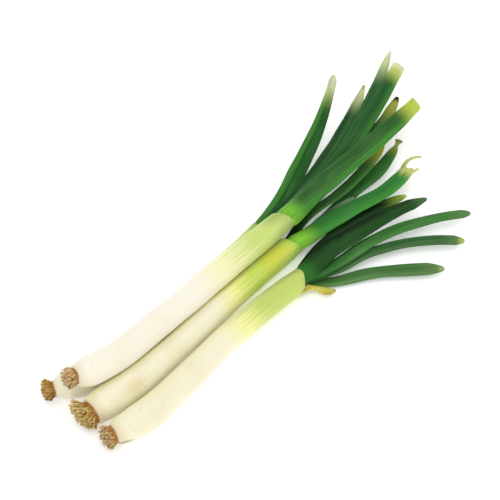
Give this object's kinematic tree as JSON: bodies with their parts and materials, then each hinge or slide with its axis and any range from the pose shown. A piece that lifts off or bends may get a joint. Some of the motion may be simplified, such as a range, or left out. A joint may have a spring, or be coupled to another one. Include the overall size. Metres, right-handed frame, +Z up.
{
  "type": "spring onion bunch",
  "caption": "Bunch of spring onions lying flat: white bulbs with trimmed roots at one end, long green leaves fanned out at the other.",
  "frame": {"origin": "middle of the bunch's footprint, on the surface that it lies on", "axes": "+X along the bunch from the roots to the leaf tips, +Z up"},
  "size_m": [0.3506, 0.1545, 0.0354],
  "materials": {
    "onion_stem_white": "satin, moist white sheath that turns pale green towards the neck",
    "onion_leaf_green": "satin, waxy leaf with a grey bloom",
    "onion_root_tan": "matte, dry root fibre"
  },
  "bodies": {
    "root": {"back_onion_stem": "onion_stem_white", "top_onion_stem": "onion_stem_white", "middle_onion_stem": "onion_stem_white", "front_onion_stem": "onion_stem_white", "back_onion_roots": "onion_root_tan", "top_onion_roots": "onion_root_tan", "middle_onion_roots": "onion_root_tan", "front_onion_roots": "onion_root_tan", "back_onion_leaf_outer": "onion_leaf_green", "back_onion_leaf_inner": "onion_leaf_green", "back_onion_leaf_long": "onion_leaf_green", "top_onion_leaf_front": "onion_leaf_green", "top_onion_leaf_tall": "onion_leaf_green", "top_onion_leaf_short": "onion_leaf_green", "middle_onion_leaf_front": "onion_leaf_green", "middle_onion_leaf_olive": "onion_leaf_green", "middle_onion_leaf_back": "onion_leaf_green", "middle_onion_leaf_stub": "onion_leaf_green", "front_onion_leaf_broad": "onion_leaf_green", "front_onion_leaf_back": "onion_leaf_green", "front_onion_leaf_third": "onion_leaf_green", "front_onion_leaf_fourth": "onion_leaf_green", "front_onion_leaf_outer": "onion_leaf_green", "front_onion_leaf_stub": "onion_leaf_green", "front_onion_dry_sheath": "onion_leaf_green"}
  },
  "joints": []
}
